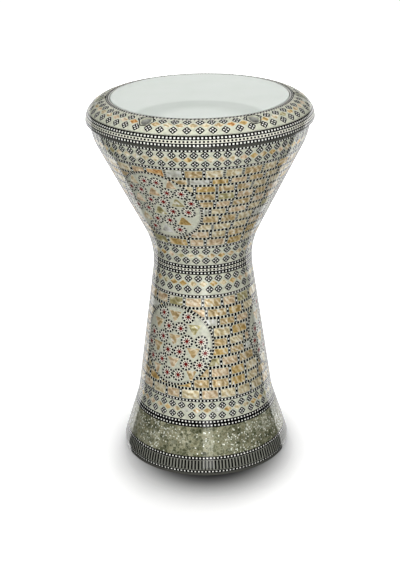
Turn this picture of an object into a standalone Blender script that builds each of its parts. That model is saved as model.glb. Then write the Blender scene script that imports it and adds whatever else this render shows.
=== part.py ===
"""Goblet drum: a cast aluminium shell faced with mosaic panels, a plastic head in a metal hoop, and a
tuning ring that six socket screws pull down from above. Metres, +Z up, origin on the floor under the axis."""

import math

import bmesh
import bpy
from mathutils import Matrix, Vector

# Fits and faceting
GAP = 0.0003
SEGMENTS = 40
FILLET_STEPS = 3
FILLET_SHARE = 0.45
SHARP_ANGLE = math.radians(35.0)
OVERCUT = 0.0006
SCREW_SEGMENTS = 16
HOLE_SEGMENTS = 16
MEDALLION_SEGMENTS = 28
TINY = 0.000001

# Finished outside of the shell, from the floor up
FOOT_EDGE_INSET = 0.0012
FOOT_WIDEST_RADIUS = 0.1064
FOOT_WIDEST_Z = 0.009
FOOT_FILLET = 0.010
FLARE_RADIUS = 0.0861
FLARE_RISE = 0.0118
FLARE_FILLET = 0.100
WAIST_RADIUS = 0.0582
WAIST_RISE = 0.0059
WAIST_FILLET = 0.095
SHOULDER_INSET = 0.0045
SHOULDER_RISE = 0.007
SHOULDER_FILLET = 0.100
FLANGE_MARGIN = 0.0131

# Heights of the inlaid bands
FOOT_RIM_HEIGHT = 0.0042
STRIPE_BAND_HEIGHT = 0.0190
PEARL_BAND_HEIGHT = 0.0380
FOOT_FRIEZE_HEIGHT = 0.0322
STEM_MOSAIC_HEIGHT = 0.1316
LOWER_WAIST_FRIEZE_HEIGHT = 0.0274
WAIST_STRIP_HEIGHT = 0.0126
UPPER_WAIST_FRIEZE_HEIGHT = 0.0260
BOWL_MOSAIC_HEIGHT = 0.1140
TOP_FRIEZE_HEIGHT = 0.0252
FLANGE_EDGE_HEIGHT = 0.0018

# Casting
INLAY_THICKNESS = 0.0020
SHELL_WALL = 0.0040
FLANGE_THICKNESS = 0.0060
BEARING_INNER_RADIUS = 0.1015
BEARING_WALL = 0.0046
BEARING_HEIGHT = 0.0272
BEARING_ROUND = 0.0022
BOSS_RADIUS = 0.0060
BOSS_DEPTH = 0.0095

# Head
FILM_THICKNESS = 0.0004
FILM_ROUND = 0.0025
FILM_FLARE = 0.0030
FILM_DROP = 0.0077
FILM_TAIL = 0.0055
HOOP_CLEARANCE = 0.0004
HOOP_WALL = 0.0012
HOOP_WIDTH = 0.0080
HOOP_HEIGHT = 0.0091
BEAD_HEIGHT = 0.0065
BEAD_FLOOR = 0.0015

# Tuning ring
SEAM = 0.0012
RING_OVERHANG = 0.0041
RING_WEB = 0.0017
RING_SKIRT = 0.0008
RING_DOME_BELOW_FILM = 0.0005
LIP_CLEARANCE = 0.0008
LIP_EDGE = 0.0018
RING_BOTTOM_EDGE = 0.0012
RING_CAVITY_MARGIN = 0.0010
RING_STRIP_HEIGHT = 0.0117
STRIP_STEPS = 2
FACE_STEPS = 6

# Tension screws
SCREW_COUNT = 6
FIRST_SCREW_ANGLE = math.radians(-60.0)
SCREW_SHANK_RADIUS = 0.0030
SCREW_LENGTH = 0.0250
SCREW_HEAD_RADIUS = 0.0050
SCREW_HEAD_HEIGHT = 0.0060
SCREW_KEY_RADIUS = 0.00289
SCREW_KEY_DEPTH = 0.0030
SCREW_KEY_SIDES = 6
SCREW_CHAMFER = 0.0005
SCREW_FLOOR = 0.0120
SCREW_TIP_ROOM = 0.0020
POCKET_CLEARANCE = 0.00125

# Medallions
MEDALLION_COUNT = 3
MEDALLION_ANGLE = math.radians(-121.0)
BOWL_MEDALLION_BELOW = 0.0130
BOWL_MEDALLION_ABOVE = 0.0090
STEM_MEDALLION_BELOW = 0.0160
STEM_MEDALLION_ABOVE = 0.0116
MEDALLION_REACH = 0.0260

# Finishes: base colour, roughness, metallic
CAST_METAL = ((0.62, 0.62, 0.60), 0.35, 1.0)
SCREW_STEEL = ((0.35, 0.35, 0.36), 0.30, 1.0)
HOOP_METAL = ((0.70, 0.70, 0.71), 0.30, 1.0)
FILM_PLASTIC = ((0.74, 0.76, 0.73), 0.35, 0.0)
BEAD_RESIN = ((0.80, 0.76, 0.62), 0.50, 0.0)
TAN_PEARL = ((0.55, 0.47, 0.33), 0.15, 0.0)
GREEN_PEARL = ((0.33, 0.35, 0.27), 0.15, 0.0)
DARK_INLAY = ((0.10, 0.10, 0.09), 0.15, 0.0)
PALE_INLAY = ((0.60, 0.60, 0.52), 0.15, 0.0)
ROSETTE_INLAY = ((0.42, 0.30, 0.26), 0.15, 0.0)


def rounded(corners, steps=FILLET_STEPS):
    """Outline through (radius, z, fillet) corners, each fillet an arc no longer than its two sides allow."""
    outline = []
    for index, (radius, height, fillet) in enumerate(corners):
        here = Vector((radius, height))
        if fillet == 0.0 or index in (0, len(corners) - 1):
            outline.append(here)
            continue
        before = Vector(corners[index - 1][:2]) - here
        after = Vector(corners[index + 1][:2]) - here
        room = FILLET_SHARE * min(before.length, after.length)
        before.normalize()
        after.normalize()
        half_turn = (math.pi - before.angle(after)) / 2
        fillet = min(fillet, room / math.tan(half_turn))
        start = here + before * fillet * math.tan(half_turn)
        end = here + after * fillet * math.tan(half_turn)
        centre = here + (before + after).normalized() * fillet / math.cos(half_turn)
        for step in range(steps + 1):
            chord = start.lerp(end, step / steps) - centre
            outline.append(centre + chord.normalized() * fillet)
    return outline


def radius_at(outline, height):
    """Radius of an outline at a height."""
    for low, high in zip(outline, outline[1:]):
        if height <= high.y:
            share = (height - low.y) / (high.y - low.y)
            return low.x + (high.x - low.x) * share
    return outline[-1].x


def between(outline, low, high):
    """The stretch of an outline from one height to another."""
    inside = [point.copy() for point in outline if low + TINY < point.y < high - TINY]
    first = Vector((radius_at(outline, low), low))
    last = Vector((radius_at(outline, high), high))
    return [first] + inside + [last]


def finish(name, colour, roughness, metallic):
    """One Principled material for one piece."""
    material = bpy.data.materials.new(name)
    material.use_nodes = True
    shader = material.node_tree.nodes["Principled BSDF"]
    shader.inputs["Base Color"].default_value = (*colour, 1.0)
    shader.inputs["Roughness"].default_value = roughness
    shader.inputs["Metallic"].default_value = metallic
    material.diffuse_color = (*colour, 1.0)
    return material


def add_piece(name, mesh, look, parent=None, location=(0.0, 0.0, 0.0)):
    """Links a mesh as a named piece with its own material."""
    mesh.materials.clear()
    mesh.materials.append(finish(name + "_finish", *look))
    piece = bpy.data.objects.new(name, mesh)
    bpy.context.collection.objects.link(piece)
    piece.location = location
    piece.parent = parent
    return piece


def spun_mesh(name, profile, segments=SEGMENTS):
    """Spins a closed (radius, z) profile round the Z axis."""
    shape = bmesh.new()
    ring = [shape.verts.new((point[0], 0.0, point[1])) for point in profile]
    edges = [shape.edges.new((a, b)) for a, b in zip(ring, ring[1:] + ring[:1])
             if max(a.co.x, b.co.x) > TINY]
    bmesh.ops.spin(shape, geom=ring + edges, axis=(0, 0, 1), cent=(0, 0, 0),
                   angle=2 * math.pi, steps=segments, use_merge=True)
    bmesh.ops.remove_doubles(shape, verts=shape.verts, dist=TINY)
    bmesh.ops.recalc_face_normals(shape, faces=shape.faces)
    mesh = bpy.data.meshes.new(name)
    shape.to_mesh(mesh)
    shape.free()
    mesh.shade_smooth()
    mesh.set_sharp_from_angle(angle=SHARP_ANGLE)
    return mesh


def add_turned(name, profile, look, parent=None):
    """A turned piece on the drum's axis."""
    return add_piece(name, spun_mesh(name, profile), look, parent)


def rod_mesh(name, radius, low, high, segments, width=1.0):
    """A straight prism along Z, narrowed across X where it cuts an oval."""
    shape = bmesh.new()
    bmesh.ops.create_cone(shape, cap_ends=True, segments=segments, radius1=radius, radius2=radius,
                          depth=high - low)
    for vertex in shape.verts:
        vertex.co.x *= width
        vertex.co.z += (low + high) / 2
    mesh = bpy.data.meshes.new(name)
    shape.to_mesh(mesh)
    shape.free()
    return mesh


def add_tool(name, mesh, matrix):
    """A cutting or joining shape, kept out of the renders."""
    tool = bpy.data.objects.new(name, mesh)
    bpy.context.collection.objects.link(tool)
    tool.matrix_world = matrix
    tool.hide_render = True
    tool.display_type = "WIRE"
    return tool


def combine(piece, tools, operation):
    """Cuts, joins or intersects a piece with its tools."""
    for tool in tools:
        modifier = piece.modifiers.new(operation.title(), "BOOLEAN")
        modifier.operation = operation
        modifier.solver = "EXACT"
        modifier.object = tool


def screw_places():
    """The six screw axes on the tuning ring."""
    for index in range(SCREW_COUNT):
        angle = FIRST_SCREW_ANGLE + index * 2 * math.pi / SCREW_COUNT
        yield index, screw_circle_radius * math.cos(angle), screw_circle_radius * math.sin(angle)


def rods_at_screws(name, radius, low, high):
    """One upright rod on each screw axis."""
    mesh = rod_mesh(name, radius, low, high, HOLE_SEGMENTS)
    return [add_tool(f"{name}_{index + 1}", mesh, Matrix.Translation((x, y, 0.0)))
            for index, x, y in screw_places()]


for leftover in list(bpy.data.objects):
    bpy.data.objects.remove(leftover, do_unlink=True)

# Band borders
stripe_z = FOOT_RIM_HEIGHT
pearl_z = stripe_z + STRIPE_BAND_HEIGHT
foot_frieze_z = pearl_z + PEARL_BAND_HEIGHT
stem_z = foot_frieze_z + FOOT_FRIEZE_HEIGHT
lower_waist_z = stem_z + STEM_MOSAIC_HEIGHT
waist_strip_z = lower_waist_z + LOWER_WAIST_FRIEZE_HEIGHT
upper_waist_z = waist_strip_z + WAIST_STRIP_HEIGHT
bowl_z = upper_waist_z + UPPER_WAIST_FRIEZE_HEIGHT
top_frieze_z = bowl_z + BOWL_MOSAIC_HEIGHT
flange_edge_z = top_frieze_z + TOP_FRIEZE_HEIGHT
flange_z = flange_edge_z + FLANGE_EDGE_HEIGHT
bearing_z = flange_z + BEARING_HEIGHT
film_z = bearing_z + GAP + FILM_THICKNESS
ring_z = flange_z + SEAM

# Radii at the head, from the bearing edge out: hoop, screws, flange
bearing_outer = BEARING_INNER_RADIUS + BEARING_WALL
hoop_inner = bearing_outer + HOOP_CLEARANCE
hoop_outer = hoop_inner + HOOP_WIDTH
cavity_radius = hoop_outer + RING_CAVITY_MARGIN
thread_hole_radius = SCREW_SHANK_RADIUS + GAP
screw_circle_radius = cavity_radius + RING_WEB + thread_hole_radius
flange_radius = screw_circle_radius + FLANGE_MARGIN

outside = rounded([
    (FOOT_WIDEST_RADIUS - FOOT_EDGE_INSET, 0.0, 0.0),
    (FOOT_WIDEST_RADIUS, FOOT_WIDEST_Z, FOOT_FILLET),
    (FLARE_RADIUS, foot_frieze_z + FLARE_RISE, FLARE_FILLET),
    (WAIST_RADIUS, upper_waist_z + WAIST_RISE, WAIST_FILLET),
    (flange_radius - SHOULDER_INSET, top_frieze_z + SHOULDER_RISE, SHOULDER_FILLET),
    (flange_radius, flange_z, 0.0),
])

# Shell: a goblet casting, recessed all the way up for the inlay
recess = INLAY_THICKNESS + GAP
band_borders = [stripe_z, pearl_z, foot_frieze_z, foot_frieze_z + FLARE_RISE, stem_z, lower_waist_z,
                waist_strip_z, upper_waist_z, bowl_z, top_frieze_z, flange_edge_z]
recess_line = [Vector((radius_at(outside, height) - recess, height)) for height in band_borders]
wall_inset = recess + SHELL_WALL
flange_under_z = flange_z - FLANGE_THICKNESS
inner_heights = [0.0, pearl_z, foot_frieze_z, foot_frieze_z + FLARE_RISE, stem_z, lower_waist_z,
                 waist_strip_z, upper_waist_z, bowl_z, top_frieze_z, flange_under_z]
inner_line = [Vector((radius_at(outside, height) - wall_inset, height)) for height in inner_heights]
bearing_top = rounded([
    (bearing_outer, flange_z, 0.0),
    (bearing_outer, bearing_z, BEARING_ROUND),
    (BEARING_INNER_RADIUS, bearing_z, BEARING_ROUND),
    (BEARING_INNER_RADIUS, flange_under_z, 0.0),
])
shell_profile = (
    [outside[0], Vector((radius_at(outside, stripe_z), stripe_z))]
    + recess_line
    + [Vector((radius_at(outside, flange_edge_z), flange_edge_z)), outside[-1]]
    + bearing_top
    + inner_line[::-1]
)
shell = add_turned("shell", shell_profile, CAST_METAL)
screw_seat_z = ring_z + SCREW_FLOOR
screw_tip_z = screw_seat_z + GAP - SCREW_LENGTH
boss_low = flange_under_z - BOSS_DEPTH
combine(shell, rods_at_screws("boss", BOSS_RADIUS, boss_low, flange_under_z + OVERCUT), "UNION")
combine(shell, rods_at_screws("thread_hole", thread_hole_radius, screw_tip_z - SCREW_TIP_ROOM,
                              flange_z + OVERCUT), "DIFFERENCE")


def panel_profile(low, high, inner_stops=()):
    """Section of one inlaid band: the finished face outside, straight runs on the casting inside."""
    low += GAP / 2
    high -= GAP / 2
    face = between(outside, low, high)
    stops = [low, *inner_stops, high]
    back = [Vector((radius_at(outside, height) - INLAY_THICKNESS, height)) for height in stops]
    return face + back[::-1]


def add_band(name, low, high, look, inner_stops=()):
    """One inlaid band round the shell."""
    return add_turned(name, panel_profile(low, high, inner_stops), look)


def medallion_tools(name, low, high, slack):
    """Oval prisms that cross the wall square to its face and mark out round panels between two heights."""
    centre_z = (low + high) / 2
    face = radius_at(outside, centre_z)
    lean = (radius_at(outside, high) - radius_at(outside, low)) / (high - low)
    radius = (high - low) / 2 * math.hypot(1.0, lean)
    across = face * math.sin(radius / face) / radius
    mesh = rod_mesh(name, radius + slack, -MEDALLION_REACH, MEDALLION_REACH, MEDALLION_SEGMENTS, across)
    for index in range(MEDALLION_COUNT):
        angle = MEDALLION_ANGLE + index * 2 * math.pi / MEDALLION_COUNT
        outward = Vector((math.cos(angle), math.sin(angle), -lean)).normalized()
        sideways = Vector((-math.sin(angle), math.cos(angle), 0.0))
        frame = Matrix((sideways, outward.cross(sideways), outward)).transposed().to_4x4()
        frame.translation = (face * math.cos(angle), face * math.sin(angle), centre_z)
        yield index, add_tool(f"{name}_{index + 1}", mesh, frame)


def add_medallions(panel, name, profile, low, high, look):
    """Round panels let into a mosaic band, each a loose fit in its opening."""
    openings = [tool for _, tool in medallion_tools(name + "_opening", low, high, GAP)]
    combine(panel, openings, "DIFFERENCE")
    for index, outline in medallion_tools(name + "_outline", low, high, 0.0):
        medallion = add_turned(f"{name}_{index + 1}", profile, look)
        combine(medallion, [outline], "INTERSECT")


add_band("foot_stripe_band", stripe_z, pearl_z, DARK_INLAY)
add_band("foot_pearl_band", pearl_z, foot_frieze_z, GREEN_PEARL)
add_band("foot_frieze", foot_frieze_z, stem_z, PALE_INLAY, [foot_frieze_z + FLARE_RISE])
stem_mosaic = add_band("stem_mosaic", stem_z, lower_waist_z, TAN_PEARL)
add_medallions(stem_mosaic, "stem_medallion", panel_profile(stem_z, lower_waist_z),
               stem_z + STEM_MEDALLION_BELOW, lower_waist_z - STEM_MEDALLION_ABOVE, ROSETTE_INLAY)
add_band("lower_waist_frieze", lower_waist_z, waist_strip_z, PALE_INLAY)
add_band("waist_strip", waist_strip_z, upper_waist_z, DARK_INLAY)
add_band("upper_waist_frieze", upper_waist_z, bowl_z, PALE_INLAY)
bowl_mosaic = add_band("bowl_mosaic", bowl_z, top_frieze_z, TAN_PEARL)
add_medallions(bowl_mosaic, "bowl_medallion", panel_profile(bowl_z, top_frieze_z),
               bowl_z + BOWL_MEDALLION_BELOW, top_frieze_z - BOWL_MEDALLION_ABOVE, ROSETTE_INLAY)
add_band("top_frieze", top_frieze_z, flange_edge_z, PALE_INLAY)

# Head: the film wraps over the bearing edge and flares out into its hoop
film_radius = bearing_outer + GAP + FILM_THICKNESS
tail_radius = film_radius + FILM_FLARE
shoulder_z = film_z - FILM_ROUND
tail_top_z = shoulder_z - FILM_DROP
tail_z = tail_top_z - FILM_TAIL


def film_line(depth):
    """One face of the film, at a depth below its outside."""
    return rounded([
        (0.0, film_z - depth, 0.0),
        (film_radius - depth, film_z - depth, FILM_ROUND - depth),
        (film_radius - depth, shoulder_z, 0.0),
        (tail_radius - depth, tail_top_z, 0.0),
        (tail_radius - depth, tail_z, 0.0),
    ])


add_turned("head_film", film_line(0.0) + film_line(FILM_THICKNESS)[::-1], FILM_PLASTIC)

hoop_z = tail_z - HOOP_WALL - BEAD_FLOOR - 2 * GAP
hoop_top_z = hoop_z + HOOP_HEIGHT
add_turned("head_hoop", [
    (hoop_inner, hoop_z),
    (hoop_outer, hoop_z),
    (hoop_outer, hoop_top_z),
    (hoop_outer - HOOP_WALL, hoop_top_z),
    (hoop_outer - HOOP_WALL, hoop_z + HOOP_WALL),
    (hoop_inner + HOOP_WALL, hoop_z + HOOP_WALL),
    (hoop_inner + HOOP_WALL, hoop_top_z),
    (hoop_inner, hoop_top_z),
], HOOP_METAL)

bead_inner = hoop_inner + HOOP_WALL + GAP
bead_outer = hoop_outer - HOOP_WALL - GAP
bead_z = hoop_z + HOOP_WALL + GAP
add_turned("hoop_resin", [
    (bead_inner, bead_z),
    (bead_outer, bead_z),
    (bead_outer, bead_z + BEAD_HEIGHT),
    (tail_radius + GAP, bead_z + BEAD_HEIGHT),
    (tail_radius + GAP, bead_z + BEAD_FLOOR),
    (tail_radius - FILM_THICKNESS - GAP, bead_z + BEAD_FLOOR),
    (tail_radius - FILM_THICKNESS - GAP, bead_z + BEAD_HEIGHT),
    (bead_inner, bead_z + BEAD_HEIGHT),
], BEAD_RESIN)

# Tuning ring: a domed casting that bears on the hoop, with two mosaic facings let into it
ring_frame = bpy.data.objects.new("tuning_ring_frame", None)
bpy.context.collection.objects.link(ring_frame)

ring_radius = flange_radius + RING_OVERHANG
lip_radius = film_radius + LIP_CLEARANCE
dome_z = ring_z + RING_SKIRT
dome_width = ring_radius - lip_radius
dome_height = film_z - RING_DOME_BELOW_FILM - dome_z


def dome_point(angle, depth=0.0):
    """A point on the ring's finished dome, or below it by a depth."""
    radius = lip_radius + (dome_width - depth) * math.cos(angle)
    return Vector((radius, dome_z + (dome_height - depth) * math.sin(angle)))


def dome_arc(start, end, steps, depth=0.0):
    """Points along the dome between two angles."""
    return [dome_point(start + (end - start) * step / steps, depth) for step in range(steps + 1)]


edge_angle = math.asin((RING_BOTTOM_EDGE - RING_SKIRT) / dome_height)
strip_angle = math.asin((RING_BOTTOM_EDGE - RING_SKIRT + RING_STRIP_HEIGHT) / dome_height)
lip_angle = math.acos(LIP_EDGE / dome_width)
gap_angle = GAP / dome_width
contact_z = hoop_top_z + GAP
contact_radius = tail_radius + LIP_CLEARANCE
ring_profile = (
    [Vector((cavity_radius, ring_z)), Vector((ring_radius, ring_z)), dome_point(edge_angle)]
    + dome_arc(edge_angle, strip_angle, STRIP_STEPS, recess)
    + dome_arc(strip_angle, lip_angle, FACE_STEPS, recess)[1:]
    + [dome_point(lip_angle), Vector((lip_radius, dome_z + dome_height)),
       Vector((lip_radius, shoulder_z)), Vector((contact_radius, tail_top_z + FILM_ROUND)),
       Vector((contact_radius, contact_z)), Vector((cavity_radius, contact_z))]
)
tuning_ring = add_turned("tuning_ring", ring_profile, CAST_METAL, ring_frame)
pocket_radius = SCREW_HEAD_RADIUS + POCKET_CLEARANCE
pockets = rods_at_screws("pocket", pocket_radius, screw_seat_z, film_z + OVERCUT)
combine(tuning_ring, pockets, "DIFFERENCE")
combine(tuning_ring, rods_at_screws("screw_hole", thread_hole_radius, ring_z - OVERCUT,
                                    screw_seat_z + OVERCUT), "DIFFERENCE")

strip_start = edge_angle + gap_angle
strip_end = strip_angle - gap_angle / 2
add_turned("ring_strip", dome_arc(strip_start, strip_end, STRIP_STEPS)
           + dome_arc(strip_start, strip_end, STRIP_STEPS, INLAY_THICKNESS)[::-1], DARK_INLAY, ring_frame)
face_start = strip_angle + gap_angle / 2
face_end = math.acos((LIP_EDGE + GAP) / dome_width)
ring_face = add_turned("ring_face", dome_arc(face_start, face_end, FACE_STEPS)
                       + dome_arc(face_start, face_end, FACE_STEPS, INLAY_THICKNESS)[::-1],
                       PALE_INLAY, ring_frame)
combine(ring_face, pockets, "DIFFERENCE")

# Tension screws: socket head, one mesh for all six
screw_mesh = spun_mesh("tension_screw", [
    (0.0, 0.0),
    (SCREW_SHANK_RADIUS - SCREW_CHAMFER, 0.0),
    (SCREW_SHANK_RADIUS, SCREW_CHAMFER),
    (SCREW_SHANK_RADIUS, SCREW_LENGTH),
    (SCREW_HEAD_RADIUS, SCREW_LENGTH),
    (SCREW_HEAD_RADIUS, SCREW_LENGTH + SCREW_HEAD_HEIGHT - SCREW_CHAMFER),
    (SCREW_HEAD_RADIUS - SCREW_CHAMFER, SCREW_LENGTH + SCREW_HEAD_HEIGHT),
    (0.0, SCREW_LENGTH + SCREW_HEAD_HEIGHT),
], SCREW_SEGMENTS)
head_top = SCREW_LENGTH + SCREW_HEAD_HEIGHT
key_mesh = rod_mesh("key_socket", SCREW_KEY_RADIUS, head_top - SCREW_KEY_DEPTH, head_top + OVERCUT,
                    SCREW_KEY_SIDES)
for index, x, y in screw_places():
    place = Vector((x, y, screw_tip_z))
    screw = add_piece(f"tension_screw_{index + 1}", screw_mesh.copy(), SCREW_STEEL, ring_frame, place)
    combine(screw, [add_tool(f"key_socket_{index + 1}", key_mesh, Matrix.Translation(place))], "DIFFERENCE")
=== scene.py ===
"""Looks of the goblet drum: mosaic skins cut to the CAD bands, turned metal, the plastic head, light and camera."""

import math
import random

import bmesh
import bpy
import numpy as np
from mathutils import Matrix, Vector
from mathutils.geometry import delaunay_2d_cdt


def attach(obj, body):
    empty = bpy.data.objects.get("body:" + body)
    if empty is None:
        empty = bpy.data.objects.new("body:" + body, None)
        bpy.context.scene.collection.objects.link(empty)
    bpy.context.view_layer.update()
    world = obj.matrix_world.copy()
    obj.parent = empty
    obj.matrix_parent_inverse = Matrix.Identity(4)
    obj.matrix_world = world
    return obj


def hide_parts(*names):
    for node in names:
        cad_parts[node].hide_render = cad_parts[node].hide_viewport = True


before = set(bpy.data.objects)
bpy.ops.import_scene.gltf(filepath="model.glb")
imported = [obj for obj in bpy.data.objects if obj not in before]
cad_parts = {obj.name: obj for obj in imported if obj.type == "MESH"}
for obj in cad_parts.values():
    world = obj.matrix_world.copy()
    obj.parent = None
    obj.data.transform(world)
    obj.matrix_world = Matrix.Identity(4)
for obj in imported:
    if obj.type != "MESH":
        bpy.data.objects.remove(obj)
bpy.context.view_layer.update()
MM = 0.001
TURN = 2 * math.pi
WHITE, BLACK = (1, 1, 1, 1), (0, 0, 0, 1)


# ---------------------------------------------------------------- outlines
def rounded(corners, steps=18):
    """Outline in millimetres through (radius, height, fillet) corners."""
    outline = []
    for index, (radius, height, fillet) in enumerate(corners):
        here = Vector((radius, height))
        if fillet == 0 or index in (0, len(corners) - 1):
            outline.append(here)
            continue
        before = (Vector(corners[index - 1][:2]) - here)
        after = (Vector(corners[index + 1][:2]) - here)
        room = 0.45 * min(before.length, after.length)
        before.normalize()
        after.normalize()
        half_turn = (math.pi - before.angle(after)) / 2
        fillet = min(fillet, room / math.tan(half_turn))
        reach = fillet * math.tan(half_turn)
        centre = here + (before + after).normalized() * fillet / math.cos(half_turn)
        for step in range(steps + 1):
            chord = (here + before * reach).lerp(here + after * reach, step / steps) - centre
            outline.append(centre + chord.normalized() * fillet)
    return outline


class Wall:
    """A turned surface laid out flat: angle round it, and arc length up it in millimetres."""

    def __init__(self, line):
        dense = []
        for a, b in zip(line, line[1:]):
            count = max(1, int((b - a).length / 0.5))
            dense += [a.lerp(b, k / count) for k in range(count)]
        dense.append(line[-1])
        self.r = np.array([p.x for p in dense])
        self.z = np.array([p.y for p in dense])
        self.s = np.concatenate([[0], np.cumsum(np.hypot(np.diff(self.r), np.diff(self.z)))])
        dr, dz = np.gradient(self.r, self.s), np.gradient(self.z, self.s)
        smooth = np.ones(7) / 7
        pad = lambda v: np.convolve(np.pad(v, 3, "edge"), smooth, "valid")
        self.nr, self.nz = pad(dz), pad(-dr)

    def radius(self, s):
        return np.interp(s, self.s, self.r)

    def up(self, z):
        """Arc length at a height."""
        return float(np.interp(z, self.z, self.s))

    def place(self, angle, s, depth=0.0):
        """Points in metres for arrays of angle and arc length."""
        nr, nz = np.interp(s, self.s, self.nr), np.interp(s, self.s, self.nz)
        r = np.interp(s, self.s, self.r) - depth * nr
        z = np.interp(s, self.s, self.z) - depth * nz
        return np.stack([r * np.cos(angle), r * np.sin(angle), z], -1) * MM

    def normal(self, angle, s):
        nr, nz = np.interp(s, self.s, self.nr), np.interp(s, self.s, self.nz)
        n = np.stack([nr * np.cos(angle), nr * np.sin(angle), nz], -1)
        return n / np.linalg.norm(n, axis=-1, keepdims=True)


SHELL = Wall(rounded([(105.2, 0, 0), (106.4, 9, 10), (86.1, 73, 100), (58.2, 270.9, 95),
                      (129.1, 412.2, 100), (133.6, 432, 0)]))
LIP_R, RING_R, DOME_Z, DOME_H = 107.6, 137.7, 434.0, 25.4
DOME = Wall([Vector((LIP_R + (RING_R - LIP_R) * math.cos(t), DOME_Z + DOME_H * math.sin(t)))
             for t in np.linspace(0.0, math.pi / 2, 300)])


# ---------------------------------------------------------------- finishes
def paint(colour):
    """Linear colour with alpha from eight-bit display values."""
    return (*[c / 12.92 if c <= 0.04045 else ((c + 0.055) / 1.055) ** 2.4 for c in (v / 255 for v in colour)], 1)


def settle(tree, made, **values):
    """Sets a node's properties and sockets, and links the sockets whose value is another node's output.

    A socket goes by its name, such as Coat_IOR for "Coat IOR", or by its number, such as _1.
    """
    for key, value in values.items():
        if hasattr(made, key):
            setattr(made, key, value)
            continue
        socket = made.inputs[int(key[1:]) if key[1:].isdigit() else key.replace("_", " ")]
        if isinstance(value, bpy.types.NodeSocket):
            tree.links.new(value, socket)
        else:
            socket.default_value = value
    return made


def node(tree, kind, **values):
    return settle(tree, tree.nodes.new(kind), **values)


def new_finish(name, **values):
    """Material, its node tree and its shader."""
    material = bpy.data.materials.new(name)
    material.use_nodes = True
    tree = material.node_tree
    return material, tree, settle(tree, tree.nodes["Principled BSDF"], **values)


def mix(tree, first, second, blend="MIX", factor=1.0):
    """Two colours mixed, of which each may be a colour or another node's output."""
    return node(tree, "ShaderNodeMix", data_type="RGBA", blend_type=blend, Factor=factor, _6=first,
                _7=second).outputs[2]


def colour_ramp(tree, share, *stops):
    """Colour that follows a share from 0 to 1. The end stops come first, and a single number is a grey."""
    ramp = node(tree, "ShaderNodeValToRGB", Fac=share)
    steps = ramp.color_ramp.elements
    for k, (place, colour) in enumerate(stops):
        step = steps[k] if k < 2 else steps.new(place)
        step.position = place
        step.color = paint(colour) if isinstance(colour, tuple) else (colour, colour, colour, 1)
    return ramp.outputs["Color"]


def lacquer(tree, shader):
    """Clear gloss coat with a slow ripple. Returns the place on the object, for the colours under it."""
    here = node(tree, "ShaderNodeTexCoord").outputs["Object"]
    ripple = node(tree, "ShaderNodeTexNoise", Vector=here, Scale=48.0, Detail=2.0)
    bump = node(tree, "ShaderNodeBump", Height=ripple.outputs["Fac"], Strength=0.08, Distance=0.002)
    settle(tree, shader, Specular_IOR_Level=0.05, Coat_Weight=1.0, Coat_Roughness=0.06, Coat_IOR=1.36,
           Coat_Normal=bump.outputs["Normal"])
    return here


def plain_inlay(name, colour):
    material, tree, shader = new_finish(name, Base_Color=paint(colour), Roughness=0.4)
    lacquer(tree, shader)
    return material


def mottled_inlay(name, low, high, scale, roughness=0.4):
    material, tree, shader = new_finish(name, Roughness=roughness)
    cloud = node(tree, "ShaderNodeTexNoise", Vector=lacquer(tree, shader), Scale=scale, Detail=5.0, Roughness=0.6)
    settle(tree, shader, Base_Color=colour_ramp(tree, cloud.outputs["Fac"], (0.3, low), (0.7, high)))
    return material


def tilted_layers(tree, shader, vector, scale, amount):
    """Small facets that catch the light one by one."""
    cells = node(tree, "ShaderNodeTexVoronoi", Vector=vector, Scale=scale)
    shift = node(tree, "ShaderNodeVectorMath", operation="SUBTRACT", _0=cells.outputs["Color"], _1=(0.5, 0.5, 0.5))
    small = node(tree, "ShaderNodeVectorMath", operation="SCALE", _0=shift.outputs["Vector"], Scale=amount)
    face = node(tree, "ShaderNodeNewGeometry")
    tilt = node(tree, "ShaderNodeVectorMath", operation="ADD", _0=face.outputs["Normal"], _1=small.outputs["Vector"])
    unit = node(tree, "ShaderNodeVectorMath", operation="NORMALIZE", _0=tilt.outputs["Vector"])
    settle(tree, shader, Normal=unit.outputs["Vector"])
    return cells


def pearl(name, dark, middle, light, glint=(250, 248, 240), metallic=0.16):
    """Mother-of-pearl tile: wavy growth layers that differ from tile to tile, with painted glints as its palest
    colour, under lacquer.
    """
    material, tree, shader = new_finish(name, Roughness=0.30, Metallic=metallic)
    here = lacquer(tree, shader)
    tile = node(tree, "ShaderNodeAttribute", attribute_name="tile")
    apart = node(tree, "ShaderNodeVectorMath", operation="MULTIPLY_ADD", _0=tile.outputs["Fac"],
                 _1=(0.131, 0.077, 0.219), _2=here).outputs["Vector"]
    layers = node(tree, "ShaderNodeTexWave", bands_direction="DIAGONAL", Vector=apart, Scale=60.0, Distortion=9.0,
                  Detail=4.0, Detail_Scale=1.7)
    cloud = node(tree, "ShaderNodeTexNoise", Vector=apart, Scale=170.0, Detail=5.0, Roughness=0.6, Distortion=0.8)
    both = node(tree, "ShaderNodeMix", data_type="FLOAT", Factor=0.78, A=layers.outputs["Fac"],
                B=cloud.outputs["Fac"])
    # The glint colour at the top of the ramp is a painted highlight
    settle(tree, shader, Base_Color=colour_ramp(tree, both.outputs["Result"], (0.29, dark), (0.71, glint),
                                                (0.44, middle), (0.59, light)))
    tilted_layers(tree, shader, apart, 230.0, 0.45)
    return material


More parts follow.
